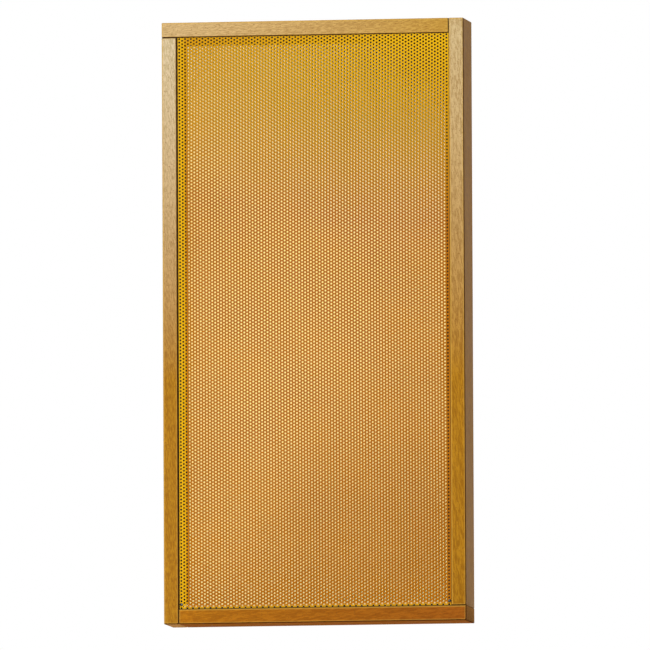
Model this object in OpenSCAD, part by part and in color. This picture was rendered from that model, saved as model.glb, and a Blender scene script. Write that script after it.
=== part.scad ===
// Wooden box frame that holds a perforated sheet in front of a white back board.
// Sizes are in millimetres. The frame stands upright on its lower edge and its front faces -Y.
// The origin is the middle of the underside.

/* [Frame boards] */
// Overall width
frame_w = 450; // [300:1:600]
// Overall height
frame_h = 888; // [500:1:1200]
// Depth of the boards from front to back
frame_d = 80; // [75:1:120]
// Thickness of the boards
board_t = 22; // [20:0.5:30]
// Radius of the eased edges of the boards
edge_r = 1.5; // [0.5:0.1:2.5]

/* [Corner dowels] */
// Diameter of a dowel
dowel_d = 8; // [6:0.5:9]
// Length of a dowel
dowel_l = 38; // [30:1:50]
// How deep a dowel goes into the face of the board that runs past the corner
dowel_in_face = 13; // [8:0.5:15]
// Distance between the two dowels of a corner
dowel_spacing = 30; // [16:1:32]
// Distance from the front of the boards to the first dowel
dowel_front = 16; // [10:0.5:18]

/* [Perforated sheet] */
// Thickness of the sheet
sheet_t = 1; // [0.8:0.1:2]
// How far the sheet lies behind the front of the boards
sheet_recess = 5; // [4:0.5:12]
// Gap between the sheet and the boards at its sides and foot
sheet_gap = 1; // [0.3:0.1:2]
// How far the upper edge of the sheet is tucked into the top bar
sheet_tuck = 4; // [2:0.5:6]
// Height of the sheet's screws above the bottom bar
sheet_screw_up = 7; // [5:0.5:20]

/* [Spacers] */
// Thickness of a spacer, from its board into the opening
spacer_t = 7; // [6.5:0.5:15]
// Number of pins in an upright spacer
upright_pins = 4; // [2:1:8]
// Number of pins in a level spacer
level_pins = 2; // [2:1:5]
// Diameter of a pin
pin_d = 1.4; // [1:0.1:2]
// Length of a pin
pin_l = 20; // [14:0.5:24]

/* [Back board] */
// Thickness of the back board
back_t = 4; // [3:0.5:8]
// How far the back board lies inside the back of the boards
back_recess = 16; // [5:0.5:22]
// Width of the rebate that takes the back board
rebate_w = 8; // [7:0.5:11]
// Gap round the back board in its rebate
back_gap = 1; // [0.5:0.1:2]
// Number of screws along an upright edge of the back board
upright_screws = 4; // [2:1:8]
// Number of screws along a level edge of the back board
level_screws = 2; // [2:1:5]

/* [Screws] */
// Diameter of a screw's shank
screw_d = 3; // [2:0.5:3.5]
// Length of a screw under its head
screw_l = 16; // [10:1:20]
// Diameter of a screw's round head
screw_head_d = 5; // [4.5:0.5:6]
// Height of a screw's round head
screw_head_h = 1.9; // [1:0.1:2.5]

/* [Hidden] */

$fn = 48;
beech = "#c99b4c";
pale_wood = "#dcc08c";
black_stain = "#1d1a18";
yellow_lacquer = "#e9b81c";
white_face = "#f1eee6";
zinc = "#b9bcbd";

// Clearance of a dowel, pin or screw in its hole, all round
hole_gap = 0.05;
// Clearance of a screw where it passes through a sheet or a board
pass_gap = 0.1;
// Clearance at the ends of a spacer and at the bottom of a blind hole
end_gap = 0.5;
// Clearance on both faces of the sheet in its groove
groove_gap = 0.2;
// Length by which a cut runs past the face that it starts from
over = 1;

// The four sides go round clockwise as seen from the front. Each is a quarter turn on from the last.
TOP = 0;
RIGHT = 1;
BOTTOM = 2;
LEFT = 3;

opening_w = frame_w - 2 * board_t;
opening_h = frame_h - 2 * board_t;
front_y = -frame_d / 2;
back_y = frame_d / 2;
sheet_y = front_y + sheet_recess;
spacer_y = sheet_y + sheet_t;
shoulder_y = back_y - back_recess - back_t;
spacer_d = shoulder_y - spacer_y;
sheet_foot = board_t + sheet_gap;
sheet_h = opening_h - sheet_gap + sheet_tuck;
dowel_y = front_y + dowel_front;

dowel_chamfer = 1;
pin_head_d = 2.4;
pin_head_h = 0.8;
pin_tip_l = 1.5;
pin_tip_d = 0.3;
screw_tip_l = 4;
screw_tip_d = 0.6;
recess_l = 2.8;
recess_w = 0.8;
recess_h = 1;

function is_upright(side) = side % 2 == 1;
// Outer length of a side, corner to corner
function outer_l(side) = is_upright(side) ? frame_h : frame_w;
// Length of the opening along a side
function opening_l(side) = outer_l(side) - 2 * board_t;
// Distance from the middle of the frame to the inner face of a side's board
function inner_face(side) = (is_upright(side) ? opening_w : opening_h) / 2;
// Count of places spread evenly over a length whose middle is 0
function spread(count, length) = [for (i = [0 : count - 1]) ((i + 0.5) / count - 0.5) * length];
function pin_places(side) = spread(is_upright(side) ? upright_pins : level_pins, opening_l(side));
function screw_places(side) = spread(is_upright(side) ? upright_screws : level_screws, opening_l(side));

// Turns a shape that is drawn for the top side onto another side.
// On a side, X runs along it, Y goes to the back and Z points out of the opening.
module on_side(side) {
    translate([0, 0, frame_h / 2]) rotate([0, 90 * side, 0]) children();
}

// Rectangle with rounded corners
module eased_rectangle(w, h) {
    translate([edge_r, 0]) square([w - 2 * edge_r, h]);
    translate([0, edge_r]) square([w, h - 2 * edge_r]);
    for (x = [edge_r, w - edge_r], y = [edge_r, h - edge_r])
        translate([x, y]) circle(r = edge_r);
}

// Board with every edge rounded, seen along each of its three directions
module eased_board(l, d, t) {
    intersection() {
        linear_extrude(t) eased_rectangle(l, d);
        translate([0, d, 0]) rotate([90, 0, 0]) linear_extrude(d) eased_rectangle(l, t);
        rotate([90, 0, 90]) linear_extrude(l) eased_rectangle(d, t);
    }
}

// Round bar along +Z with chamfered ends
module dowel() {
    inner_l = dowel_l - 2 * dowel_chamfer;
    tip_d = dowel_d - 2 * dowel_chamfer;
    cylinder(d1 = tip_d, d2 = dowel_d, h = dowel_chamfer);
    translate([0, 0, dowel_chamfer]) cylinder(d = dowel_d, h = inner_l);
    translate([0, 0, dowel_chamfer + inner_l]) cylinder(d1 = dowel_d, d2 = tip_d, h = dowel_chamfer);
}

// Panel pin along +Z, with the top of its head at the origin
module pin() {
    cylinder(d = pin_head_d, h = pin_head_h);
    cylinder(d = pin_d, h = pin_l - pin_tip_l);
    translate([0, 0, pin_l - pin_tip_l]) cylinder(d1 = pin_d, d2 = pin_tip_d, h = pin_tip_l);
}

// Space that a pin takes up in the wood
module pin_hole() {
    translate([0, 0, -over]) cylinder(d = pin_head_d + 2 * hole_gap, h = pin_head_h + hole_gap + over);
    cylinder(d = pin_d + 2 * hole_gap, h = pin_l + end_gap);
}

// Round-head wood screw along +Z, with the underside of its head at the origin
module screw() {
    dome_r = (screw_head_d * screw_head_d / 4 + screw_head_h * screw_head_h) / (2 * screw_head_h);
    difference() {
        intersection() {
            translate([0, 0, dome_r - screw_head_h]) sphere(r = dome_r);
            translate([0, 0, -screw_head_h]) cylinder(d = screw_head_d, h = screw_head_h);
        }
        for (turn = [0, 90])
            rotate([0, 0, turn])
                translate([-recess_l / 2, -recess_w / 2, -screw_head_h - over])
                    cube([recess_l, recess_w, recess_h + over]);
    }
    cylinder(d = screw_d, h = screw_l - screw_tip_l);
    translate([0, 0, screw_l - screw_tip_l]) cylinder(d1 = screw_d, d2 = screw_tip_d, h = screw_tip_l);
}

// Hole that a screw bites into
module screw_hole() {
    translate([0, 0, -over]) cylinder(d = screw_d + 2 * hole_gap, h = screw_l + end_gap + over);
}

// Hole that a screw passes through
module pass_hole(thickness) {
    translate([0, 0, -over]) cylinder(d = screw_d + 2 * pass_gap, h = thickness + 2 * over);
}

// The two screws at the foot of the sheet go back into the upright spacers
module at_sheet_screws() {
    for (x = [-1, 1] * (opening_w - spacer_t) / 2)
        translate([x, sheet_y, board_t + sheet_screw_up]) rotate([-90, 0, 0]) children();
}

// The back board's screws go forward into the shoulder of the rebate
module at_back_screws(side) {
    for (x = screw_places(side))
        translate([x, shoulder_y + back_t, inner_face(side) + rebate_w / 2]) rotate([90, 0, 0]) children();
}

// The pins go out through a spacer into its board
module at_pins(side) {
    for (x = pin_places(side))
        translate([x, spacer_y + spacer_d / 2, inner_face(side) - spacer_t]) children();
}

// One pair of dowels stands in the end of a side's board that runs past its corner
module at_dowels(side) {
    for (y = [0, dowel_spacing])
        translate([(board_t - outer_l(side)) / 2, dowel_y + y, inner_face(side) + dowel_in_face - dowel_l])
            children();
}

// Holes for the dowels across the end where a board runs past the corner
module face_dowel_holes(side) {
    at_dowels(side) cylinder(d = dowel_d + 2 * hole_gap, h = dowel_l + end_gap);
}

// Holes for the dowels in the end where a board stops against the next one
module end_dowel_holes(side) {
    depth = dowel_l - dowel_in_face + end_gap;
    for (y = [0, dowel_spacing])
        translate([opening_l(side) / 2 - depth, dowel_y + y, inner_face(side) + board_t / 2])
            rotate([0, 90, 0])
                cylinder(d = dowel_d + 2 * hole_gap, h = depth + over);
}

// Step along the inner back edge that takes the back board
module rebate(side) {
    half_l = opening_l(side) / 2 + rebate_w;
    translate([-half_l, shoulder_y, inner_face(side) - over])
        cube([2 * half_l, back_y - shoulder_y + over, rebate_w + over]);
}

// Groove that takes the upper edge of the sheet
module sheet_groove() {
    translate([-opening_w / 2, sheet_y - groove_gap, inner_face(TOP) - over])
        cube([opening_w + over, sheet_t + 2 * groove_gap, sheet_tuck + 2 * end_gap + over]);
}

module bar(side) {
    on_side(side) difference() {
        translate([-outer_l(side) / 2, front_y, inner_face(side)])
            eased_board(outer_l(side) - board_t, frame_d, board_t);
        rebate(side);
        if (side == TOP) sheet_groove();
        face_dowel_holes(side);
        end_dowel_holes(side);
        at_pins(side) pin_hole();
        at_back_screws(side) screw_hole();
    }
}

module spacer(side) {
    length = opening_l(side) - 2 * end_gap - (is_upright(side) ? 0 : 2 * spacer_t);
    difference() {
        on_side(side) difference() {
            translate([-length / 2, spacer_y, inner_face(side) - spacer_t]) cube([length, spacer_d, spacer_t]);
            at_pins(side) pin_hole();
        }
        if (is_upright(side)) at_sheet_screws() screw_hole();
    }
}

module corner_dowels(side) {
    on_side(side) at_dowels(side) dowel();
}

module spacer_pins(side) {
    on_side(side) at_pins(side) pin();
}

module top_bar() { color(beech) bar(TOP); }
module right_side_bar() { color(beech) bar(RIGHT); }
module bottom_bar() { color(beech) bar(BOTTOM); }
module left_side_bar() { color(beech) bar(LEFT); }

module top_left_dowels() { color(pale_wood) corner_dowels(TOP); }
module top_right_dowels() { color(pale_wood) corner_dowels(RIGHT); }
module bottom_right_dowels() { color(pale_wood) corner_dowels(BOTTOM); }
module bottom_left_dowels() { color(pale_wood) corner_dowels(LEFT); }

module top_spacer() { color(black_stain) spacer(TOP); }
module right_spacer() { color(black_stain) spacer(RIGHT); }
module bottom_spacer() { color(black_stain) spacer(BOTTOM); }
module left_spacer() { color(black_stain) spacer(LEFT); }

module top_spacer_pins() { color(zinc) spacer_pins(TOP); }
module right_spacer_pins() { color(zinc) spacer_pins(RIGHT); }
module bottom_spacer_pins() { color(zinc) spacer_pins(BOTTOM); }
module left_spacer_pins() { color(zinc) spacer_pins(LEFT); }

// The sheet's many small perforations are left out of the solid
module perforated_sheet() {
    sheet_w = opening_w - 2 * sheet_gap;
    color(yellow_lacquer) difference() {
        translate([-sheet_w / 2, sheet_y, sheet_foot]) cube([sheet_w, sheet_t, sheet_h]);
        at_sheet_screws() pass_hole(sheet_t);
    }
}

module sheet_screws() {
    color(zinc) at_sheet_screws() screw();
}

module back_board() {
    board_w = opening_w + 2 * (rebate_w - back_gap);
    board_h = opening_h + 2 * (rebate_w - back_gap);
    color(white_face) difference() {
        translate([-board_w / 2, shoulder_y, (frame_h - board_h) / 2]) cube([board_w, back_t, board_h]);
        for (side = [TOP : LEFT]) on_side(side) at_back_screws(side) pass_hole(back_t);
    }
}

module back_board_screws() {
    color(zinc) for (side = [TOP : LEFT]) on_side(side) at_back_screws(side) screw();
}

top_bar();
right_side_bar();
bottom_bar();
left_side_bar();
top_left_dowels();
top_right_dowels();
bottom_right_dowels();
bottom_left_dowels();
top_spacer();
right_spacer();
bottom_spacer();
left_spacer();
top_spacer_pins();
right_spacer_pins();
bottom_spacer_pins();
left_spacer_pins();
perforated_sheet();
sheet_screws();
back_board();
back_board_screws();
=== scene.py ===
"""Looks of a wooden box frame that holds a perforated sheet in front of a white back board.

The front faces -Y and the frame stands on z = 0. Lengths are in metres, but those of the camera's lens and
sensor are in millimetres.
"""

import math

import bmesh
import bpy
from mathutils import Matrix, Vector


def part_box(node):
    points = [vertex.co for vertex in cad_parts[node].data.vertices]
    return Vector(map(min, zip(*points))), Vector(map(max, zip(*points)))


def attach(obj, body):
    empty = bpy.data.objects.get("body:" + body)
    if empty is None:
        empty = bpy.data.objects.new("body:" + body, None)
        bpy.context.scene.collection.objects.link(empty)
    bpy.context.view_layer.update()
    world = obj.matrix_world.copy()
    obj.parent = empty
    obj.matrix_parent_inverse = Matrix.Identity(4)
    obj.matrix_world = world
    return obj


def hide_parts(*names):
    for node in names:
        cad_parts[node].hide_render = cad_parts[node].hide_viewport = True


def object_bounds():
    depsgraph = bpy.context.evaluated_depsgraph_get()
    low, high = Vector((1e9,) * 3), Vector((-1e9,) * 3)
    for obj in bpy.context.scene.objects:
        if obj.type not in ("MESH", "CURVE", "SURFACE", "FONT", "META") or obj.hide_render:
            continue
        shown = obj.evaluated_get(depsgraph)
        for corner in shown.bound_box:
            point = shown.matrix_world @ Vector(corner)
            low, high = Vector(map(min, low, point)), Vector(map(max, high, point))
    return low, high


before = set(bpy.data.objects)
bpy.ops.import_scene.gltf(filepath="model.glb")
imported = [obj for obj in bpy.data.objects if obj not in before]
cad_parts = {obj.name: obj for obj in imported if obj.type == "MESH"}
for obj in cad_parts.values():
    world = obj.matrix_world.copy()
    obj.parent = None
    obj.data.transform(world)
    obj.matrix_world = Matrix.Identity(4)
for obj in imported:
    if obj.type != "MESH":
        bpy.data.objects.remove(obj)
cad_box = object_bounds()
scene = bpy.context.scene
scene.view_settings.view_transform = "Standard"

MM = 0.001

# Perforation of the sheet: round holes on an even triangular pitch, in upright columns
HOLE_PITCH = 5 * MM
HOLE_D = 3 * MM
HOLE_SIDES = 12
COLUMN_PITCH = HOLE_PITCH * math.sqrt(3) / 2
BAND_COLUMNS = 16

# Rows and columns of cells beyond the sheet's size, which are cut off at its outline, the distance within
# which corners of cells are joined, and the one within which a corner counts as lying on the outline
SPARE_ROWS = 3
SPARE_COLUMNS = 2
JOIN_WITHIN = 0.01 * MM
TRIM_WITHIN = 0.001 * MM

# Angles between faces from which an edge of the sheet or of a screw is sharp
SHEET_SHARP = math.radians(40)
SCREW_SHARP = math.radians(35)

# Round-head screws. The cross recess gets narrower towards its floor, by the taper.
SCREW_D = 3 * MM
SCREW_L = 16 * MM
SCREW_TIP_L = 4 * MM
SCREW_TIP_D = 0.6 * MM
SCREW_HEAD_D = 5 * MM
SCREW_HEAD_H = 1.9 * MM
SCREW_SIDES = 32
DOME_STEPS = 8
RECESS_L = 2.8 * MM
RECESS_W = 0.8 * MM
RECESS_H = 1.0 * MM
RECESS_TAPER = 0.4

# Turns about X that point a screw from +Z to the back, and to the front
POINT_BACK = -math.pi / 2
POINT_FORWARD = math.pi / 2

# Places of the screws. The sheet's two lie half-way across the spacers, this far above the bottom board, and
# those of the back board half-way across its rebate, in rows of these numbers.
SHEET_SCREW_UP = 7 * MM
SPACER_T = 7 * MM
REBATE_W = 8 * MM
UPRIGHT_SCREWS = 4
LEVEL_SCREWS = 2

# Eased edges of the boards, and how far their grain leans from their length, in radians
EDGE_R = 1.5 * MM
GRAIN_SLOPE = 0.1

# Patterns of the boards: growth figure and how much it counts beside the fibre, what their sum is in the
# palest and in the darkest grain, ray flecks and how much they hide, growth rings and patches in the gloss.
# Fibre is finer than a pixel and a fleck is half a millimetre wide, so both are drawn wider to show.
FIGURE_L = 260 * MM
FIGURE_W = 6 * MM
FIGURE_SHARE = 0.25
FIBRE_L = 9 * MM
FIBRE_W = 1.6 * MM
PALE_GRAIN = 0.52
DARK_GRAIN = 0.73
FLECK_L = 3 * MM
FLECK_W = 1 * MM
FLECK_HIDES = 0.6
RING_STEP = 2.6 * MM
PATCH_L = 60 * MM
PATCH_W = 25 * MM
GLOSS_VARIES = 0.05

# Heights between which the fronts of the upright boards turn to their last tones, which are paler with
# painted sheen and light, and x for the level boards
UPRIGHT_SHEEN = (0.36, 0.86)
LEVEL_SHEEN = (0.2, -0.2)

# How much painted light and shade on edges and dirt in joints hide, how much painted shade hides inside the
# frame, how much painted highlight an edge facing up or left takes, and the roughness of edges with painted
# shade, of dirt and of end grain
EDGE_LIGHT_AND_DIRT_HIDES = 0.85
INSIDE_SHADE_HIDES = 0.9
EDGE_HIGHLIGHT = 0.5
DULL_ROUGH = 0.9

# Patterns of the other finishes: clouds in the sheet's tint, its orange peel, print of the screen and fibres
# on the hardboard, grain of the spacers and dowels, and clouds in the zinc. The wires of the screen were
# 1.5 mm apart, and their print is drawn twice as far apart to show.
TINT_CLOUD = 120 * MM
PEEL = 2 * MM
SCREEN_STEP = 3 * MM
BOARD_FIBRE_L = 4 * MM
BOARD_FIBRE_W = 1.5 * MM
SAW_GRAIN = 3 * MM
DOWEL_GRAIN = 2 * MM
ZINC_CLOUD = 1.2 * MM

# How far the yellower lacquer and the painted shadow marks reach from the sheet's upper right corner,
# how far the smaller painted shadow marks reach from the lower right one, and how much they grow there.
# Within the core, which is a share of the reach, each stays as it is in the corner.
YELLOW_REACH = Vector((0.72, 0, 0.28))
UPPER_REACH = Vector((0.51, 0, 0.34))
LOWER_REACH = Vector((0.4, 0, 0.5))
LOWER_GROWTH = 0.52
REACH_CORE = 0.05

# Widths of the margins of the sheet that the light did not age, how soon the aged lacquer ends in them, and
# how much of their yellow they keep
LEFT_MARGIN = 13 * MM
LOWER_MARGIN = 4.5 * MM
UPPER_MARGIN = 8 * MM
MARGIN_FADE = 5 * MM
MARGIN_YELLOW = 0.9

# Black of the spacers, which is painted shade: the y at which it ends, how wide it is where it is narrow and
# where it covers the whole strip, and how uneven it is
SHADE_END = 2 * MM
NARROW_SHADE = 3 * MM
WHOLE_SHADE = 2 * SPACER_T
SHADE_WANDER = 1 * MM

# How far the painted shadow marks on the back board, the shade of the sheet's web, lie from its holes
PAINTED_SHADOW_SHIFT = Vector((-9.8 * MM, 0, 4.1 * MM))

# Camera, found from the frame's corners in the photograph
SENSOR = 36
IMAGE_PX = 650
CAMERA_DISTANCE = 36
CAMERA_RANGE = 100
CAMERA_LENS = 1354.0
CAMERA_AZIMUTH = math.radians(9.05)
CAMERA_ELEVATION = math.radians(-4.3)
CAMERA_ROLL = math.radians(-0.26)
CENTRE_AT_PX = (317.9, 322.9)


def srgb(code):
    """Linear colour of an sRGB hex value."""
    parts = [int(code[i:i + 2], 16) / 255 for i in (1, 3, 5)]
    linear = [c / 12.92 if c <= 0.04045 else ((c + 0.055) / 1.055) ** 2.4 for c in parts]
    return (*linear, 1.0)


def add(tree, kind, inputs=None, **settings):
    """Adds a node. Inputs are links or values by socket name or number; settings are the node's own.

    Sockets of a Mix node share names, so they go by number: 0 is the factor, 2 and 3 are the two numbers,
    6 and 7 are the two colours, output 0 is the mixed number and output 2 is the mixed colour.
    """
    made = tree.nodes.new(kind)
    for key, value in settings.items():
        setattr(made, key, value)
    for key, value in (inputs or {}).items():
        if isinstance(value, bpy.types.NodeSocket):
            tree.links.new(value, made.inputs[key])
        else:
            made.inputs[key].default_value = value
    return made


def new_finish(name):
    """Empty material and its tree."""
    finish = bpy.data.materials.new(name)
    finish.use_nodes = True
    finish.node_tree.nodes.clear()
    return finish, finish.node_tree


def streaks(tree, place, length, width, detail=2.0):
    """Noise whose blotches are about length by width, drawn out along X."""
    stretched = add(tree, "ShaderNodeVectorMath",
                    {0: place, 1: (1 / length, 1 / width, 1 / width)}, operation="MULTIPLY")
    return add(tree, "ShaderNodeTexNoise",
               {"Vector": stretched.outputs[0], "Scale": 1.0, "Detail": detail}).outputs["Fac"]


def near(tree, place, corner, reach, most=1.0):
    """How near a point is to a corner: the most in it, and 0 from the reach away."""
    away = add(tree, "ShaderNodeVectorMath", {0: place, 1: corner}, operation="SUBTRACT")
    away = add(tree, "ShaderNodeVectorMath", {0: away.outputs[0], 1: (1 / reach.x, 0, 1 / reach.z)},
               operation="MULTIPLY")
    away = add(tree, "ShaderNodeVectorMath", {0: away.outputs[0]}, operation="LENGTH")
    return add(tree, "ShaderNodeMapRange",
               {"Value": away.outputs["Value"], "From Min": REACH_CORE, "To Min": most,
                "To Max": 0.0}).outputs[0]


def first_hole():
    """Hole of the sheet that its left screw goes through, from which the lattice is counted."""
    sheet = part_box("perforated_sheet")[0]
    return Vector((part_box("left_side_bar")[1].x + SPACER_T / 2, sheet.y,
                   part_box("bottom_bar")[1].z + SHEET_SCREW_UP))


def lacquered_beech(node, first, last, along, joint, shine, rough, seed):
    """Planed beech under a satin lacquer.

    Close grain runs almost along the board, with short brown ray flecks. The ends are dull and show growth
    rings, and the lacquer gives a faint sheen. Front edges turned right or down carry painted shade, and the
    other front edges a painted highlight. Faces inside the frame are painted dark as shade, as the spacers
    are. Along the front, upwards or to the left, painted sheen and light take the wood from the first pale
    and dark tone to the last ones. Dirt lies in the joint at one end, the upper or right one where joint is 1
    and the other one where it is 0. Shine is the lacquer's specular level, and rough its mean roughness.
    """
    finish, tree = new_finish("satin_lacquered_beech_" + node)
    place = add(tree, "ShaderNodeTexCoord").outputs["Object"]
    turn = (0, math.pi / 2 + GRAIN_SLOPE if along == "Z" else GRAIN_SLOPE, 0)
    board = add(tree, "ShaderNodeMapping",
                {"Vector": place, "Location": (seed, seed, seed), "Rotation": turn}).outputs[0]

    figure = streaks(tree, board, FIGURE_L, FIGURE_W)
    fibre = streaks(tree, board, FIBRE_L, FIBRE_W)
    grain = add(tree, "ShaderNodeMath", {0: figure, 1: FIGURE_SHARE, 2: fibre}, operation="MULTIPLY_ADD")
    tone = add(tree, "ShaderNodeMapRange",
               {"Value": grain.outputs[0], "From Min": PALE_GRAIN, "From Max": DARK_GRAIN})

    # Painted sheen and light: paler tones along the front, whose normal points to -Y, upwards or to the left
    spot = add(tree, "ShaderNodeSeparateXYZ", {0: place}).outputs
    axis = "XYZ".index(along)
    start, end = UPRIGHT_SHEEN if along == "Z" else LEVEL_SHEEN
    outward = add(tree, "ShaderNodeNewGeometry").outputs["Normal"]
    toward_back = add(tree, "ShaderNodeSeparateXYZ", {0: outward}).outputs["Y"]
    is_front = add(tree, "ShaderNodeMapRange", {"Value": toward_back, "From Min": -0.3, "From Max": -0.9})
    painted_sheen = add(tree, "ShaderNodeMapRange", {"Value": spot[axis], "From Min": start, "From Max": end,
                                            "To Max": is_front.outputs[0]}).outputs[0]
    pale, deep = [add(tree, "ShaderNodeMix", {0: painted_sheen, 6: srgb(low), 7: srgb(high)},
                      data_type="RGBA").outputs[2] for low, high in zip(first, last)]
    wood = add(tree, "ShaderNodeMix", {0: tone.outputs[0], 6: pale, 7: deep}, data_type="RGBA")

    # Flecks are the high spots of their noise
    fleck = streaks(tree, board, FLECK_L, FLECK_W, 0.0)
    flecked = add(tree, "ShaderNodeMapRange",
                  {"Value": fleck, "From Min": 0.64, "From Max": 0.74, "To Max": FLECK_HIDES})
    side = add(tree, "ShaderNodeMix", {0: flecked.outputs[0], 6: wood.outputs[2], 7: srgb("#7A4A1C")},
               data_type="RGBA")

    # Growth rings on the ends, whose normal points along the board. A wave repeats every pi / 10 of its
    # scaled length.
    rings = add(tree, "ShaderNodeTexWave",
                {"Vector": board, "Scale": math.pi / 10 / RING_STEP, "Distortion": 3.0, "Detail": 2.0},
                wave_type="RINGS", rings_direction="X")
    ends = add(tree, "ShaderNodeMix", {0: rings.outputs["Fac"], 6: srgb("#CC9450"), 7: srgb("#A66E34")},
               data_type="RGBA")
    facing = add(tree, "ShaderNodeVectorMath", {0: outward, 1: (0, 0, 1) if along == "Z" else (1, 0, 0)},
                 operation="DOT_PRODUCT")
    lengthways = add(tree, "ShaderNodeMath", {0: facing.outputs["Value"]}, operation="ABSOLUTE")
    is_end = add(tree, "ShaderNodeMapRange",
                 {"Value": lengthways.outputs[0], "From Min": 0.7, "From Max": 0.95})
    bare = add(tree, "ShaderNodeMix", {0: is_end.outputs[0], 6: side.outputs[2], 7: ends.outputs[2]},
               data_type="RGBA")

    # Painted shade: dark on the faces inside the frame, whose normal points to its middle
    to_middle = add(tree, "ShaderNodeVectorMath", {0: (cad_box[0] + cad_box[1]) / 2, 1: place},
                    operation="SUBTRACT")
    inward = add(tree, "ShaderNodeVectorMath", {0: outward, 1: to_middle.outputs[0]}, operation="DOT_PRODUCT")
    inside_shade = add(tree, "ShaderNodeMapRange",
                    {"Value": inward.outputs["Value"], "From Min": 0.1, "From Max": 0.2,
                     "To Max": INSIDE_SHADE_HIDES})
    bare = add(tree, "ShaderNodeMix", {0: inside_shade.outputs[0], 6: bare.outputs[2], 7: srgb("#22140A")},
               data_type="RGBA")

    # Painted light and shade on the front edges: a painted highlight where they face up or left, and painted
    # shade where they face right or down. The edge is found by the distance past the start of the rounding in
    # both directions that meet there
    low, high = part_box(node)
    flat = (high - low) / 2 - Vector((EDGE_R, EDGE_R, EDGE_R))
    from_middle = add(tree, "ShaderNodeVectorMath", {0: place, 1: (low + high) / 2}, operation="SUBTRACT")
    reached = add(tree, "ShaderNodeVectorMath", {0: from_middle.outputs[0]}, operation="ABSOLUTE")
    past = add(tree, "ShaderNodeVectorMath", {0: reached.outputs[0], 1: flat}, operation="SUBTRACT")
    past = add(tree, "ShaderNodeSeparateXYZ", {0: past.outputs[0]}).outputs
    pairs = [add(tree, "ShaderNodeMath", {0: past[i], 1: past[j]}, operation="MINIMUM").outputs[0]
             for i, j in ((0, 1), (1, 2), (0, 2))]
    edge = add(tree, "ShaderNodeMath", {0: pairs[0], 1: pairs[1]}, operation="MAXIMUM")
    edge = add(tree, "ShaderNodeMath", {0: edge.outputs[0], 1: pairs[2]}, operation="MAXIMUM")
    in_front = add(tree, "ShaderNodeMapRange",
                   {"Value": spot["Y"], "From Min": low.y + EDGE_R, "From Max": low.y + 3 * EDGE_R,
                    "To Min": EDGE_LIGHT_AND_DIRT_HIDES, "To Max": 0.0}).outputs[0]
    painted_edge = add(tree, "ShaderNodeMapRange",
                  {"Value": edge.outputs[0], "From Min": -0.8 * EDGE_R, "From Max": -0.2 * EDGE_R,
                   "To Max": in_front})
    turned = add(tree, "ShaderNodeVectorMath", {0: outward, 1: (1, 0, -1)}, operation="DOT_PRODUCT")
    edge_shade = add(tree, "ShaderNodeMapRange",
                {"Value": turned.outputs["Value"], "From Min": 0.05, "From Max": 0.3})
    # Painted highlight on edges facing up or left, and painted shade near black on those facing right or down
    edge_highlight = add(tree, "ShaderNodeMix", {0: EDGE_HIGHLIGHT, 6: bare.outputs[2], 7: srgb("#D2A648")},
                 data_type="RGBA")
    arris = add(tree, "ShaderNodeMix", {0: edge_shade.outputs[0], 6: edge_highlight.outputs[2], 7: srgb("#3A1A0C")},
                data_type="RGBA")
    with_edge_light = add(tree, "ShaderNodeMix", {0: painted_edge.outputs[0], 6: bare.outputs[2], 7: arris.outputs[2]},
               data_type="RGBA")

    # Dirt in the joint, in a line at the end of the board
    from_joint = add(tree, "ShaderNodeMath", {0: spot[axis], 1: (low, high)[joint][axis]},
                     operation="SUBTRACT")
    from_joint = add(tree, "ShaderNodeMath", {0: from_joint.outputs[0]}, operation="ABSOLUTE")
    dirt = add(tree, "ShaderNodeMapRange",
               {"Value": from_joint.outputs[0], "From Min": EDGE_R / 2, "From Max": EDGE_R,
                "To Min": in_front, "To Max": 0.0}).outputs[0]
    colour = add(tree, "ShaderNodeMix", {0: dirt, 6: with_edge_light.outputs[2], 7: srgb("#1E0F06")}, data_type="RGBA")

    # Patchy gloss, dull in joint dirt, on edges with painted shade and on end grain
    gloss = add(tree, "ShaderNodeMapRange",
                {"Value": streaks(tree, board, PATCH_L, PATCH_W), "To Min": rough - GLOSS_VARIES,
                 "To Max": rough + GLOSS_VARIES})
    edge_shade_and_dirt = add(tree, "ShaderNodeMath", {0: painted_edge.outputs[0], 1: edge_shade.outputs[0]}, operation="MULTIPLY")
    edge_shade_and_dirt = add(tree, "ShaderNodeMath", {0: edge_shade_and_dirt.outputs[0], 1: dirt}, operation="MAXIMUM").outputs[0]
    dull = add(tree, "ShaderNodeMath", {0: edge_shade_and_dirt, 1: is_end.outputs[0]}, operation="MAXIMUM").outputs[0]
    sheen = add(tree, "ShaderNodeMix", {0: dull, 2: gloss.outputs[0], 3: DULL_ROUGH})
    relief = add(tree, "ShaderNodeBump", {"Strength": 0.1, "Distance": 0.05 * MM, "Height": grain.outputs[0]})
    lacquer = add(tree, "ShaderNodeBsdfPrincipled",
                  {"Base Color": colour.outputs[2], "Roughness": sheen.outputs[0], "IOR": 1.5,
                   "Specular IOR Level": shine, "Normal": relief.outputs[0]})
    add(tree, "ShaderNodeOutputMaterial", {"Surface": lacquer.outputs[0]})
    return finish


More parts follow.
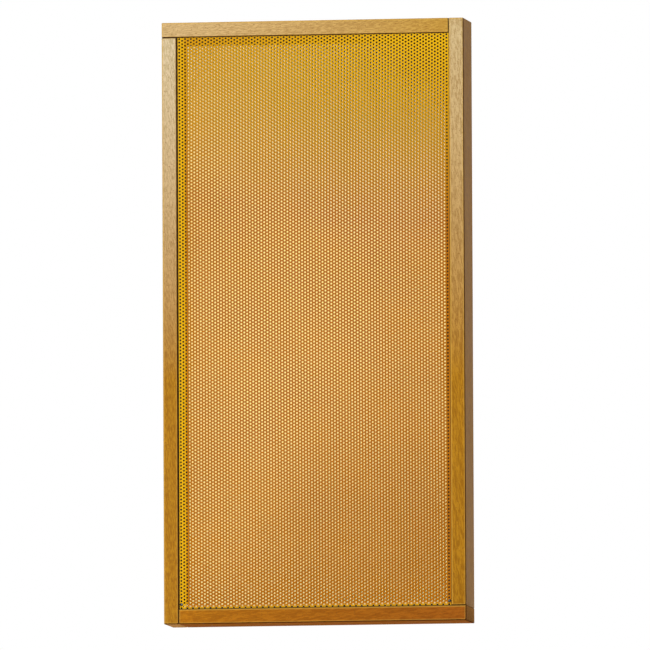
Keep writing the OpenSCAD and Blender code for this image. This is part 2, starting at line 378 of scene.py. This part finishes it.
def yellow_lacquer():
    """Golden yellow stoving lacquer sprayed on punched steel: dull, with a faint orange peel.

    It has aged to orange, and kept its yellow along all the margins but the right one and towards the upper
    right corner. The back has only a red-brown primer.
    """
    finish, tree = new_finish("golden_yellow_stoved_lacquer")
    place = add(tree, "ShaderNodeTexCoord").outputs["Object"]
    low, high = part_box("perforated_sheet")
    aged_low = low + Vector((LEFT_MARGIN, 0, LOWER_MARGIN))
    aged_high = high - Vector((0, 0, UPPER_MARGIN))
    from_middle = add(tree, "ShaderNodeVectorMath", {0: place, 1: (aged_low + aged_high) / 2},
                      operation="SUBTRACT")
    reached = add(tree, "ShaderNodeVectorMath", {0: from_middle.outputs[0]}, operation="ABSOLUTE")
    past = add(tree, "ShaderNodeVectorMath", {0: reached.outputs[0], 1: (aged_high - aged_low) / 2},
               operation="SUBTRACT")
    past = add(tree, "ShaderNodeSeparateXYZ", {0: past.outputs[0]}).outputs
    past = add(tree, "ShaderNodeMath", {0: past["X"], 1: past["Z"]}, operation="MAXIMUM")
    margin = add(tree, "ShaderNodeMapRange",
                 {"Value": past.outputs[0], "From Max": MARGIN_FADE, "To Max": MARGIN_YELLOW})
    kept = add(tree, "ShaderNodeMath", {0: margin.outputs[0], 1: near(tree, place, high, YELLOW_REACH)},
               operation="MAXIMUM")
    cloud = streaks(tree, place, TINT_CLOUD, TINT_CLOUD)
    tint = add(tree, "ShaderNodeMapRange", {"Value": cloud, "From Min": 0.3, "From Max": 0.7})
    aged = add(tree, "ShaderNodeMix", {0: tint.outputs[0], 6: srgb("#AA6500"), 7: srgb("#B26C02")},
               data_type="RGBA")
    front = add(tree, "ShaderNodeMix", {0: kept.outputs[0], 6: aged.outputs[2], 7: srgb("#DCA908")},
                data_type="RGBA")
    facing = add(tree, "ShaderNodeSeparateXYZ",
                 {0: add(tree, "ShaderNodeNewGeometry").outputs["Normal"]}).outputs["Y"]
    is_back = add(tree, "ShaderNodeMath", {0: facing, 1: 0.5}, operation="GREATER_THAN")
    colour = add(tree, "ShaderNodeMix", {0: is_back.outputs[0], 6: front.outputs[2], 7: srgb("#7A4A34")},
                 data_type="RGBA")
    peel = streaks(tree, place, PEEL, PEEL, 1.0)
    sheen = add(tree, "ShaderNodeMapRange", {"Value": peel, "To Min": 0.56, "To Max": 0.68})
    relief = add(tree, "ShaderNodeBump", {"Strength": 0.2, "Distance": 0.05 * MM, "Height": peel})
    lacquer = add(tree, "ShaderNodeBsdfPrincipled",
                  {"Base Color": colour.outputs[2], "Roughness": sheen.outputs[0], "IOR": 1.5,
                   "Specular IOR Level": 0.2, "Normal": relief.outputs[0]})
    add(tree, "ShaderNodeOutputMaterial", {"Surface": lacquer.outputs[0]})
    return finish


def white_faced_hardboard():
    """Hardboard with a smooth white front face and a brown back that keeps the print of a wire screen.

    The white front carries painted shadow: dark marks in the pattern of the sheet's holes, for the shade of
    its web. The marks grow towards the two right corners, and join in the upper one, where nothing bright
    shows through the sheet. Further from the upper one the white is cream.
    """
    finish, tree = new_finish("white_faced_hardboard")
    place = add(tree, "ShaderNodeTexCoord").outputs["Object"]
    parts = add(tree, "ShaderNodeSeparateXYZ", {0: place}).outputs

    waves = [add(tree, "ShaderNodeMath",
                 {0: add(tree, "ShaderNodeMath", {0: parts[i], 1: 2 * math.pi / SCREEN_STEP},
                         operation="MULTIPLY").outputs[0]}, operation="SINE").outputs[0] for i in (0, 2)]
    screen = add(tree, "ShaderNodeMath", {0: waves[0], 1: waves[1]}, operation="MULTIPLY")
    fibres = streaks(tree, place, BOARD_FIBRE_L, BOARD_FIBRE_W, 3.0)
    brown = add(tree, "ShaderNodeMix", {0: fibres, 6: srgb("#8E6440"), 7: srgb("#6A472B")}, data_type="RGBA")
    low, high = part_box("perforated_sheet")
    above = near(tree, place, high, UPPER_REACH)
    below = near(tree, place, Vector((high.x, 0, low.z)), LOWER_REACH, LOWER_GROWTH)
    growth = add(tree, "ShaderNodeMath", {0: above, 1: below}, operation="MAXIMUM").outputs[0]
    unshaded = add(tree, "ShaderNodeMix", {0: above, 6: srgb("#FDF1AC"), 7: srgb("#FFFCF0")}, data_type="RGBA")

    # The product is 2 at a mark's middle, and -0.25 where it is furthest from all the marks. There is painted
    # shadow where it is above the rim, so a rim of 2.1 leaves no marks, and one of -0.6 joins them.
    from_mark = add(tree, "ShaderNodeVectorMath", {0: place, 1: first_hole() + PAINTED_SHADOW_SHIFT},
                    operation="SUBTRACT")
    turns = add(tree, "ShaderNodeVectorMath",
                {0: from_mark.outputs[0], 1: (math.pi / COLUMN_PITCH, 0, 2 * math.pi / HOLE_PITCH)},
                operation="MULTIPLY")
    waves = add(tree, "ShaderNodeVectorMath", {0: turns.outputs[0]}, operation="COSINE")
    waves = add(tree, "ShaderNodeSeparateXYZ", {0: waves.outputs[0]}).outputs
    both = add(tree, "ShaderNodeMath", {0: waves["X"], 1: waves["Z"]}, operation="ADD")
    lattice = add(tree, "ShaderNodeMath", {0: waves["X"], 1: both.outputs[0]}, operation="MULTIPLY")
    rim = add(tree, "ShaderNodeMapRange", {"Value": growth, "To Min": 2.1, "To Max": -0.6})
    marked = add(tree, "ShaderNodeMath", {0: lattice.outputs[0], 1: rim.outputs[0]}, operation="SUBTRACT")
    painted_shadow = add(tree, "ShaderNodeMapRange", {"Value": marked.outputs[0], "From Max": 0.3})
    # Painted shadow: the marks are near black
    white = add(tree, "ShaderNodeMix", {0: painted_shadow.outputs[0], 6: unshaded.outputs[2], 7: srgb("#160A06")},
                data_type="RGBA")

    facing = add(tree, "ShaderNodeSeparateXYZ",
                 {0: add(tree, "ShaderNodeNewGeometry").outputs["Normal"]}).outputs["Y"]
    is_front = add(tree, "ShaderNodeMath", {0: facing, 1: -0.5}, operation="LESS_THAN").outputs[0]
    colour = add(tree, "ShaderNodeMix", {0: is_front, 6: brown.outputs[2], 7: white.outputs[2]},
                 data_type="RGBA")
    rough = add(tree, "ShaderNodeMapRange", {"Value": is_front, "To Min": 0.75, "To Max": 0.5})
    print_depth = add(tree, "ShaderNodeMapRange", {"Value": is_front, "To Min": 0.5, "To Max": 0.0})
    relief = add(tree, "ShaderNodeBump", {"Strength": print_depth.outputs[0], "Distance": 0.2 * MM,
                                          "Height": screen.outputs[0]})
    board = add(tree, "ShaderNodeBsdfPrincipled",
                {"Base Color": colour.outputs[2], "Roughness": rough.outputs[0], "Normal": relief.outputs[0]})
    add(tree, "ShaderNodeOutputMaterial", {"Surface": board.outputs[0]})
    return finish


def softwood_with_painted_shade(side, axis, board_face, shade_w):
    """Sawn cream-painted pine strip, black from the front as painted shade: dull, with the saw's grain.

    The painted shade starts at the face of the board, which lies across the axis, and has the given width. It
    covers the front part of the sides, and ends unevenly.
    """
    finish, tree = new_finish("pine_with_painted_shade_" + side)
    place = add(tree, "ShaderNodeTexCoord").outputs["Object"]
    grain = streaks(tree, place, SAW_GRAIN, SAW_GRAIN, 3.0)
    # Painted shade: near black where the strip lies behind the sheet's margins
    shade_black = add(tree, "ShaderNodeMix", {0: grain, 6: srgb("#141211"), 7: srgb("#26211E")}, data_type="RGBA")
    spot = add(tree, "ShaderNodeSeparateXYZ", {0: place}).outputs
    from_board = add(tree, "ShaderNodeMath", {0: spot[axis], 1: board_face}, operation="SUBTRACT")
    from_board = add(tree, "ShaderNodeMath", {0: from_board.outputs[0]}, operation="ABSOLUTE")
    past_width = add(tree, "ShaderNodeMath", {0: from_board.outputs[0], 1: shade_w}, operation="SUBTRACT")
    past_depth = add(tree, "ShaderNodeMath", {0: spot["Y"], 1: SHADE_END}, operation="SUBTRACT")
    past = add(tree, "ShaderNodeMath", {0: past_width.outputs[0], 1: past_depth.outputs[0]},
               operation="MAXIMUM")
    uneven = add(tree, "ShaderNodeMath", {0: grain, 1: SHADE_WANDER, 2: past.outputs[0]},
                 operation="MULTIPLY_ADD")
    painted = add(tree, "ShaderNodeMapRange", {"Value": uneven.outputs[0], "From Max": SHADE_WANDER})
    colour = add(tree, "ShaderNodeMix", {0: painted.outputs[0], 6: shade_black.outputs[2], 7: srgb("#D6BF88")},
                 data_type="RGBA")
    rough = add(tree, "ShaderNodeMapRange", {"Value": grain, "To Min": 0.6, "To Max": 0.8})
    relief = add(tree, "ShaderNodeBump", {"Strength": 0.4, "Distance": 0.1 * MM, "Height": grain})
    strip_bsdf = add(tree, "ShaderNodeBsdfPrincipled",
                {"Base Color": colour.outputs[2], "Roughness": rough.outputs[0], "Specular IOR Level": 0.2,
                 "Normal": relief.outputs[0]})
    add(tree, "ShaderNodeOutputMaterial", {"Surface": strip_bsdf.outputs[0]})
    return finish


def bare_beech():
    """Turned beech dowel with no finish: pale pinkish tan, matt, with close grain and small flecks."""
    finish, tree = new_finish("bare_turned_beech")
    place = add(tree, "ShaderNodeTexCoord").outputs["Object"]
    grain = streaks(tree, place, DOWEL_GRAIN, DOWEL_GRAIN, 3.0)
    colour = add(tree, "ShaderNodeMix", {0: grain, 6: srgb("#E2C79A"), 7: srgb("#C9A46C")}, data_type="RGBA")
    rough = add(tree, "ShaderNodeMapRange", {"Value": grain, "To Min": 0.65, "To Max": 0.75})
    relief = add(tree, "ShaderNodeBump", {"Strength": 0.3, "Distance": 0.05 * MM, "Height": grain})
    wood = add(tree, "ShaderNodeBsdfPrincipled",
               {"Base Color": colour.outputs[2], "Roughness": rough.outputs[0], "Normal": relief.outputs[0]})
    add(tree, "ShaderNodeOutputMaterial", {"Surface": wood.outputs[0]})
    return finish


def bright_zinc():
    """Steel fixings with aged zinc plating: bluish grey metal, with faint cloudy dull patches."""
    finish, tree = new_finish("bright_zinc_plated_steel")
    place = add(tree, "ShaderNodeTexCoord").outputs["Object"]
    cloud = streaks(tree, place, ZINC_CLOUD, ZINC_CLOUD)
    colour = add(tree, "ShaderNodeMix", {0: cloud, 6: srgb("#868D94"), 7: srgb("#666D74")}, data_type="RGBA")
    rough = add(tree, "ShaderNodeMapRange", {"Value": cloud, "To Min": 0.22, "To Max": 0.42})
    zinc = add(tree, "ShaderNodeBsdfPrincipled",
               {"Base Color": colour.outputs[2], "Metallic": 1.0, "Roughness": rough.outputs[0]})
    add(tree, "ShaderNodeOutputMaterial", {"Surface": zinc.outputs[0]})
    return finish


def new_tree(name, sockets):
    """Geometry node tree with named inputs. Returns it with the sockets that give their values."""
    tree = bpy.data.node_groups.new(name, "GeometryNodeTree")
    tree.interface.new_socket("Geometry", in_out="INPUT", socket_type="NodeSocketGeometry")
    for label, kind in sockets.items():
        tree.interface.new_socket(label, in_out="INPUT", socket_type="NodeSocket" + kind)
    tree.interface.new_socket("Geometry", in_out="OUTPUT", socket_type="NodeSocketGeometry")
    return tree, add(tree, "NodeGroupInput").outputs


def run_tree(name, mesh, tree, values):
    """New object whose plain mesh is what the tree makes of a mesh with these values."""
    piece = bpy.data.objects.new(name, mesh)
    scene.collection.objects.link(piece)
    modifier = piece.modifiers.new(tree.name, "NODES")
    modifier.node_group = tree
    for item in tree.interface.items_tree:
        if item.in_out == "INPUT" and item.name in values:
            modifier[item.identifier] = values[item.name]
    return apply_modifiers(piece)


def apply_modifiers(piece):
    """Turns what an object's modifiers make into its own plain mesh."""
    shown = piece.evaluated_get(bpy.context.evaluated_depsgraph_get())
    made = bpy.data.meshes.new_from_object(shown)
    piece.modifiers.clear()
    piece.data = made
    made.name = piece.name
    return piece


def perforation_tree():
    """Flat lattice of six-sided cells, each with a round hole, that stands in the XZ plane and faces -Y."""
    tree, given = new_tree("perforation", {
        "Pitch": "Float", "Hole diameter": "Float", "Hole sides": "Int", "Columns": "Int", "Rows": "Int",
        "First hole": "Vector", "Finish": "Material"})
    count = add(tree, "FunctionNodeIntegerMath", {0: given["Columns"], 1: given["Rows"]},
                operation="MULTIPLY")
    index = add(tree, "GeometryNodeInputIndex").outputs[0]
    column = add(tree, "FunctionNodeIntegerMath", {0: index, 1: given["Rows"]}, operation="DIVIDE_FLOOR")
    row = add(tree, "FunctionNodeIntegerMath", {0: index, 1: given["Rows"]}, operation="MODULO")
    odd = add(tree, "FunctionNodeIntegerMath", {0: column.outputs[0], 1: 2}, operation="MODULO")
    across = add(tree, "ShaderNodeMath", {0: column.outputs[0], 1: math.sqrt(3) / 2}, operation="MULTIPLY")
    up = add(tree, "ShaderNodeMath", {0: odd.outputs[0], 1: 0.5, 2: row.outputs[0]}, operation="MULTIPLY_ADD")
    step = add(tree, "ShaderNodeCombineXYZ", {"X": across.outputs[0], "Z": up.outputs[0]})
    spot = add(tree, "ShaderNodeVectorMath", {0: step.outputs[0], "Scale": given["Pitch"]}, operation="SCALE")
    spot = add(tree, "ShaderNodeVectorMath", {0: spot.outputs[0], 1: given["First hole"]}, operation="ADD")
    spots = add(tree, "GeometryNodePoints", {"Count": count.outputs[0], "Position": spot.outputs[0]})

    corner = add(tree, "ShaderNodeMath", {0: given["Pitch"], 1: math.sqrt(3)}, operation="DIVIDE")
    outline = add(tree, "GeometryNodeCurvePrimitiveCircle", {"Resolution": 6, "Radius": corner.outputs[0]})
    hole_r = add(tree, "ShaderNodeMath", {0: given["Hole diameter"], 1: 2.0}, operation="DIVIDE")
    hole = add(tree, "GeometryNodeCurvePrimitiveCircle",
               {"Resolution": given["Hole sides"], "Radius": hole_r.outputs[0]})
    loops = add(tree, "GeometryNodeJoinGeometry", {0: outline.outputs[0]})
    tree.links.new(hole.outputs[0], loops.inputs[0])
    cell = add(tree, "GeometryNodeFillCurve", {"Curve": loops.outputs[0]})
    upright = add(tree, "FunctionNodeAxisAngleToRotation", {"Axis": (1, 0, 0), "Angle": math.pi / 2})
    cells = add(tree, "GeometryNodeInstanceOnPoints",
                {"Points": spots.outputs[0], "Instance": cell.outputs[0], "Rotation": upright.outputs[0]})
    real = add(tree, "GeometryNodeRealizeInstances", {0: cells.outputs[0]})
    joined = add(tree, "GeometryNodeMergeByDistance", {0: real.outputs[0], "Distance": JOIN_WITHIN})
    painted = add(tree, "GeometryNodeSetMaterial", {0: joined.outputs[0], "Material": given["Finish"]})
    add(tree, "NodeGroupOutput", {0: painted.outputs[0]})
    return tree


def screw_row_tree():
    """Row of copies of the mesh it is given, each tilted from +Z about X and turned at random on its axis."""
    tree, given = new_tree("screw_row", {
        "Count": "Int", "First": "Vector", "Step": "Vector", "Tilt": "Float", "Seed": "Int",
        "Finish": "Material"})
    places = add(tree, "GeometryNodeMeshLine",
                 {"Count": given["Count"], "Start Location": given["First"], "Offset": given["Step"]})
    tilt = add(tree, "FunctionNodeAxisAngleToRotation", {"Axis": (1, 0, 0), "Angle": given["Tilt"]})
    angle = add(tree, "FunctionNodeRandomValue", {2: 0.0, 3: 2 * math.pi, "Seed": given["Seed"]},
                data_type="FLOAT")
    spin = add(tree, "FunctionNodeAxisAngleToRotation", {"Axis": (0, 0, 1), "Angle": angle.outputs[1]})
    turned = add(tree, "FunctionNodeRotateRotation",
                 {"Rotation": tilt.outputs[0], "Rotate By": spin.outputs[0]}, rotation_space="LOCAL")
    copies = add(tree, "GeometryNodeInstanceOnPoints",
                 {"Points": places.outputs[0], "Instance": given["Geometry"], "Rotation": turned.outputs[0]})
    real = add(tree, "GeometryNodeRealizeInstances", {0: copies.outputs[0]})
    plated = add(tree, "GeometryNodeSetMaterial", {0: real.outputs[0], "Material": given["Finish"]})
    add(tree, "NodeGroupOutput", {0: plated.outputs[0]})
    return tree


def turned_solid(outline, sides):
    """Solid turned about Z from (radius, height) points. The first and the last lie on the axis."""
    solid = bmesh.new()
    rings = []
    for radius, height in outline:
        if radius == 0:
            rings.append([solid.verts.new((0, 0, height))] * sides)
            continue
        angles = [2 * math.pi * i / sides for i in range(sides)]
        rings.append([solid.verts.new((radius * math.cos(a), radius * math.sin(a), height)) for a in angles])
    for upper, lower in zip(rings, rings[1:]):
        for i in range(sides):
            j = (i + 1) % sides
            solid.faces.new(dict.fromkeys((upper[i], lower[i], lower[j], upper[j])))
    bmesh.ops.recalc_face_normals(solid, faces=solid.faces)
    return solid


def to_object(solid, name):
    """New object from a bmesh, which is freed."""
    mesh = bpy.data.meshes.new(name)
    solid.to_mesh(mesh)
    solid.free()
    piece = bpy.data.objects.new(name, mesh)
    scene.collection.objects.link(piece)
    return piece


def screw_mesh():
    """Round-head screw along +Z with a cross recess, and the underside of its head at z = 0."""
    dome_r = (SCREW_HEAD_D ** 2 / 4 + SCREW_HEAD_H ** 2) / (2 * SCREW_HEAD_H)
    rim = math.asin(SCREW_HEAD_D / 2 / dome_r)
    angles = [rim * i / DOME_STEPS for i in range(DOME_STEPS + 1)]
    dome = [(dome_r * math.sin(a), dome_r - SCREW_HEAD_H - dome_r * math.cos(a)) for a in angles]
    shank = [(SCREW_D / 2, 0), (SCREW_D / 2, SCREW_L - SCREW_TIP_L), (SCREW_TIP_D / 2, SCREW_L), (0, SCREW_L)]
    screw = to_object(turned_solid(dome + shank, SCREW_SIDES), "screw")

    cutter = bmesh.new()
    long, wide = RECESS_L / 2, RECESS_W / 2
    cross = [(long, -wide), (long, wide), (wide, wide), (wide, long), (-wide, long), (-wide, wide),
             (-long, wide), (-long, -wide), (-wide, -wide), (-wide, -long), (wide, -long), (wide, -wide)]
    top, floor = -SCREW_HEAD_H - RECESS_H, RECESS_H - SCREW_HEAD_H
    rings = [[cutter.verts.new((x * size, y * size, z)) for x, y in cross]
             for z, size in ((top, 1 + RECESS_TAPER), (floor, 1 - RECESS_TAPER))]
    for ring in rings:
        cutter.faces.new(ring)
    for i in range(len(cross)):
        j = (i + 1) % len(cross)
        cutter.faces.new((rings[0][i], rings[0][j], rings[1][j], rings[1][i]))
    bmesh.ops.recalc_face_normals(cutter, faces=cutter.faces)
    cutter = to_object(cutter, "recess")
    cut = screw.modifiers.new("recess", "BOOLEAN")
    cut.operation = "DIFFERENCE"
    cut.object = cutter
    apply_modifiers(screw)
    made = screw.data
    made.shade_smooth()
    made.set_sharp_from_angle(angle=SCREW_SHARP)
    bpy.data.objects.remove(cutter)
    bpy.data.objects.remove(screw)
    return made


def sheet_band(name, tree, first_column, columns, finish):
    """Part of the perforated sheet: some columns of cells, cut to the sheet's outline and given thickness."""
    low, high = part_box("perforated_sheet")
    first = first_hole()
    # Every other column is half a step lower than the first hole's
    rows_below = math.ceil((first.z - low.z) / HOLE_PITCH) + (first_column % 2) / 2
    rows = math.ceil((high.z - low.z) / HOLE_PITCH) + SPARE_ROWS
    piece = run_tree(name, bpy.data.meshes.new(name), tree, {
        "Pitch": HOLE_PITCH, "Hole diameter": HOLE_D, "Hole sides": HOLE_SIDES, "Columns": columns,
        "Rows": rows, "Finish": finish,
        "First hole": first + Vector((first_column * COLUMN_PITCH, 0, -rows_below * HOLE_PITCH))})
    flat = bmesh.new()
    flat.from_mesh(piece.data)
    for corner, outward in ((low, (-1, 0, 0)), (low, (0, 0, -1)), (high, (1, 0, 0)), (high, (0, 0, 1))):
        bmesh.ops.bisect_plane(flat, geom=[*flat.verts, *flat.edges, *flat.faces], dist=TRIM_WITHIN,
                               plane_co=corner, plane_no=outward, clear_outer=True)
    flat.to_mesh(piece.data)
    flat.free()
    thickness = piece.modifiers.new("thickness", "SOLIDIFY")
    thickness.thickness = high.y - low.y
    thickness.offset = -1
    apply_modifiers(piece)
    piece.data.shade_smooth()
    piece.data.set_sharp_from_angle(angle=SHEET_SHARP)
    return piece


def hand_over(piece, node):
    """Puts a finished piece on the frame in place of a CAD node."""
    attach(piece, "root")
    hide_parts(node)


def finish_nodes(nodes, finish):
    """Gives CAD nodes a procedural material."""
    for name in nodes:
        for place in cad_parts[name].material_slots:
            place.material = finish


# Boards, spacers, dowels, pins and back board keep their CAD shapes. Each board has its first tones, its last
# tones, which are paler with painted sheen and light, the axis along it, the end with the dirty joint, its
# shine and roughness, and the seed of its grain.
# The bottom board is the dullest.
BOARDS = {
    "top_bar": (("#C0953E", "#A77A2D"), ("#D0B07B", "#B79764"), "X", 1, 0.12, 0.55, 0.0),
    "right_side_bar": (("#AD791A", "#926112"), ("#CAB182", "#B29665"), "Z", 0, 0.08, 0.55, 1.7),
    "bottom_bar": (("#A15D1A", "#8B4D14"), ("#B3741B", "#9D6115"), "X", 0, 0.02, 0.85, 3.1),
    "left_side_bar": (("#AC791B", "#936112"), ("#D5C19D", "#BAA67B"), "Z", 1, 0.12, 0.55, 4.6),
}
for board, look in BOARDS.items():
    finish_nodes([board], lacquered_beech(board, *look))

# Each spacer has the axis across it, the place of its board's face on that axis, and the width of its black,
# which is painted shade
SPACERS = {
    "top": ("Z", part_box("top_bar")[0].z, WHOLE_SHADE),
    "left": ("X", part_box("left_side_bar")[1].x, WHOLE_SHADE),
    "right": ("X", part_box("right_side_bar")[0].x, WHOLE_SHADE),
    "bottom": ("Z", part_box("bottom_bar")[1].z, NARROW_SHADE),
}
zinc = bright_zinc()
for side, strip in SPACERS.items():
    finish_nodes([side + "_spacer"], softwood_with_painted_shade(side, *strip))
    finish_nodes([side + "_spacer_pins"], zinc)
finish_nodes([row + "_" + side + "_dowels" for row in ("top", "bottom") for side in ("left", "right")],
             bare_beech())
finish_nodes(["back_board"], white_faced_hardboard())

# Perforated sheet, in upright bands that meet between two columns of holes
yellow = yellow_lacquer()
perforation = perforation_tree()
sheet_low, sheet_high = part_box("perforated_sheet")
column_count = math.ceil((sheet_high.x - sheet_low.x) / COLUMN_PITCH) + SPARE_COLUMNS
for band, first in enumerate(range(-1, column_count - 1, BAND_COLUMNS)):
    columns = min(BAND_COLUMNS, column_count - 1 - first)
    piece = sheet_band("perforated_sheet_band_%d" % (band + 1), perforation, first, columns, yellow)
    hand_over(piece, "perforated_sheet")

# Screws of the sheet go back into the upright spacers, and those of the back board go forward into the boards
screw = screw_mesh()
screw_row = screw_row_tree()
inner_low = Vector((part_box("left_side_bar")[1].x, 0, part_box("bottom_bar")[1].z))
inner_high = Vector((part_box("right_side_bar")[0].x, 0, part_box("top_bar")[0].z))
opening = inner_high - inner_low


def place_screws(name, node, count, first, step, tilt, seed):
    """One row of screws in place of a CAD node, or of part of it."""
    piece = run_tree(name, screw, screw_row, {
        "Count": count, "First": first, "Step": step, "Tilt": tilt, "Seed": seed, "Finish": zinc})
    hand_over(piece, node)


place_screws("sheet_foot_screws", "sheet_screws", 2,
             (inner_low.x + SPACER_T / 2, sheet_low.y, inner_low.z + SHEET_SCREW_UP),
             (opening.x - SPACER_T, 0, 0), POINT_BACK, 3)
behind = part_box("back_board")[1].y
upright_step = opening.z / UPRIGHT_SCREWS
level_step = opening.x / LEVEL_SCREWS
for side, x in (("left", inner_low.x - REBATE_W / 2), ("right", inner_high.x + REBATE_W / 2)):
    place_screws("back_screws_" + side, "back_board_screws", UPRIGHT_SCREWS,
                 (x, behind, inner_low.z + upright_step / 2), (0, 0, upright_step), POINT_FORWARD, 5)
for side, z in (("bottom", inner_low.z - REBATE_W / 2), ("top", inner_high.z + REBATE_W / 2)):
    place_screws("back_screws_" + side, "back_board_screws", LEVEL_SCREWS,
                 (inner_low.x + level_step / 2, behind, z), (level_step, 0, 0), POINT_FORWARD, 8)

# Camera
centre = (cad_box[0] + cad_box[1]) / 2
away = Vector((math.sin(CAMERA_AZIMUTH) * math.cos(CAMERA_ELEVATION),
               -math.cos(CAMERA_AZIMUTH) * math.cos(CAMERA_ELEVATION), math.sin(CAMERA_ELEVATION)))
level_right = away.cross((0, 0, -1)).normalized()
level_up = away.cross(level_right)
right = level_right * math.cos(CAMERA_ROLL) + level_up * math.sin(CAMERA_ROLL)
up = away.cross(right)
pixel = CAMERA_DISTANCE * SENSOR / CAMERA_LENS / IMAGE_PX
aim = (centre + right * (IMAGE_PX / 2 - CENTRE_AT_PX[0]) * pixel
       + up * (CENTRE_AT_PX[1] - IMAGE_PX / 2) * pixel)
camera = bpy.data.objects.new("camera", bpy.data.cameras.new("camera"))
scene.collection.objects.link(camera)
camera.data.sensor_width = SENSOR
camera.data.lens = CAMERA_LENS
camera.data.clip_end = CAMERA_RANGE
turned = Matrix((right, up, away)).transposed()
camera.matrix_world = Matrix.Translation(aim + away * CAMERA_DISTANCE) @ turned.to_4x4()
scene.camera = camera


def shows_background(tree):
    """1 for the rays that show the white background, and 0 for those that only bring light."""
    path = add(tree, "ShaderNodeLightPath").outputs
    straight = add(tree, "ShaderNodeMath", {0: path["Is Camera Ray"], 1: path["Is Transmission Ray"]},
                   operation="MAXIMUM")
    return add(tree, "ShaderNodeMath", {0: straight.outputs[0], 1: path["Is Glossy Ray"]},
               operation="MAXIMUM").outputs[0]


# Floor: pale, with the frame's footprint left open so that light from below reaches the lower face.
# It is clear from below, where the photograph's camera stands.
FLOOR_HALF = 10
FLOOR_GLOW = 0.45
CORNERS = ((-1, -1), (1, -1), (1, 1), (-1, 1))
foot = cad_box[1] - Vector((EDGE_R, EDGE_R, 0))
ground = bmesh.new()
inside = [ground.verts.new((x * foot.x, y * foot.y, 0)) for x, y in CORNERS]
outside = [ground.verts.new((x * FLOOR_HALF, y * FLOOR_HALF, 0)) for x, y in CORNERS]
for i in range(4):
    j = (i + 1) % 4
    ground.faces.new((outside[i], outside[j], inside[j], inside[i]))
floor = to_object(ground, "floor")
paper, tree = new_finish("white_paper_floor")
glow = add(tree, "ShaderNodeMath", {0: shows_background(tree), 1: FLOOR_GLOW}, operation="MULTIPLY")
matt = add(tree, "ShaderNodeBsdfPrincipled",
           {"Base Color": srgb("#F2F2F0"), "Roughness": 0.9, "Specular IOR Level": 0.0,
            "Emission Color": (1, 1, 1, 1), "Emission Strength": glow.outputs[0]})
clear = add(tree, "ShaderNodeBsdfTransparent")
under = add(tree, "ShaderNodeNewGeometry").outputs["Backfacing"]
shown = add(tree, "ShaderNodeMixShader", {0: under, 1: matt.outputs[0], 2: clear.outputs[0]})
add(tree, "ShaderNodeOutputMaterial", {"Surface": shown.outputs[0]})
floor.data.materials.append(paper)

# World: white where it is seen or shows in gloss, and otherwise a plain fill light that is stronger from the
# upper left
FILL_FROM = Vector((-0.57, -0.3, 0.76))
FILL_LOW = 0.03
FILL_HIGH = 0.18
world = bpy.data.worlds.new("studio")
world.use_nodes = True
world.node_tree.nodes.clear()
scene.world = world
tree = world.node_tree
toward = add(tree, "ShaderNodeTexCoord").outputs["Generated"]
lean = add(tree, "ShaderNodeVectorMath", {0: toward, 1: FILL_FROM}, operation="DOT_PRODUCT")
fill = add(tree, "ShaderNodeMapRange", {"Value": lean.outputs["Value"], "From Min": -0.5, "From Max": 1.0,
                                        "To Min": FILL_LOW, "To Max": FILL_HIGH})
strength = add(tree, "ShaderNodeMix", {0: shows_background(tree), 2: fill.outputs[0], 3: 1.0})
sky = add(tree, "ShaderNodeBackground", {"Color": (1, 1, 1, 1), "Strength": strength.outputs[0]})
add(tree, "ShaderNodeOutputWorld", {"Surface": sky.outputs[0]})


def new_lamp(name, kind, place, toward, power):
    """Lamp at a place, turned toward a point."""
    lamp = bpy.data.objects.new(name, bpy.data.lights.new(name, kind))
    scene.collection.objects.link(lamp)
    lamp.location = place
    lamp.rotation_mode = "QUATERNION"
    lamp.rotation_quaternion = (Vector(toward) - Vector(place)).to_track_quat("-Z", "Y")
    lamp.data.energy = power
    return lamp


# Key light from the front. Its spots on the back board line up with the holes, as the camera sees them,
# where the slopes of light and sight differ by whole steps of the lattice over the space behind the sheet.
KEY_STRENGTH = 2.5
KEY_ANGLE = math.radians(0.4)
KEY_DISTANCE = 3
LATTICE_STEP = Vector((2 * COLUMN_PITCH, 0, -HOLE_PITCH))
ALIGNED_AT = Vector((-0.08, sheet_low.y, 0.38))
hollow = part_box("back_board")[0].y - (sheet_low.y + sheet_high.y) / 2
sight = ALIGNED_AT - camera.matrix_world.translation
sight /= sight.y
beam = sight + LATTICE_STEP / hollow
key = new_lamp("key_light", "SUN", ALIGNED_AT - KEY_DISTANCE * beam, ALIGNED_AT, KEY_STRENGTH)
key.data.angle = KEY_ANGLE
key.visible_glossy = False

# Soft lights: one at the upper left, which shows in the sheen of the boards, two behind, for the right side
# and for the back, left side and top, and one under the frame for its lower face. Each has its place, the
# point that it is turned toward, its power in watts, its width and height, and whether it shows in gloss.
SOFT_LIGHTS = {
    "soft_light": ((-0.35, -2.0, 0.98), (0, 0, 0.6), 6.3, (0.6, 0.4), True),
    "rear_light": ((3.0, 2.0, 1.6), (0, 0, 0.45), 27, (1.5, 1.5), False),
    "high_light": ((-1.5, 1.5, 2.8), (0, 0, 0.6), 80, (1.5, 1.5), False),
    "low_light": ((0, 0, -1.0), (0, 0, 0), 9, (1.0, 1.0), False),
}
for name, (place, toward, power, size, in_gloss) in SOFT_LIGHTS.items():
    lamp = new_lamp(name, "AREA", place, toward, power)
    lamp.data.shape = "RECTANGLE"
    lamp.data.size, lamp.data.size_y = size
    lamp.visible_glossy = in_gloss
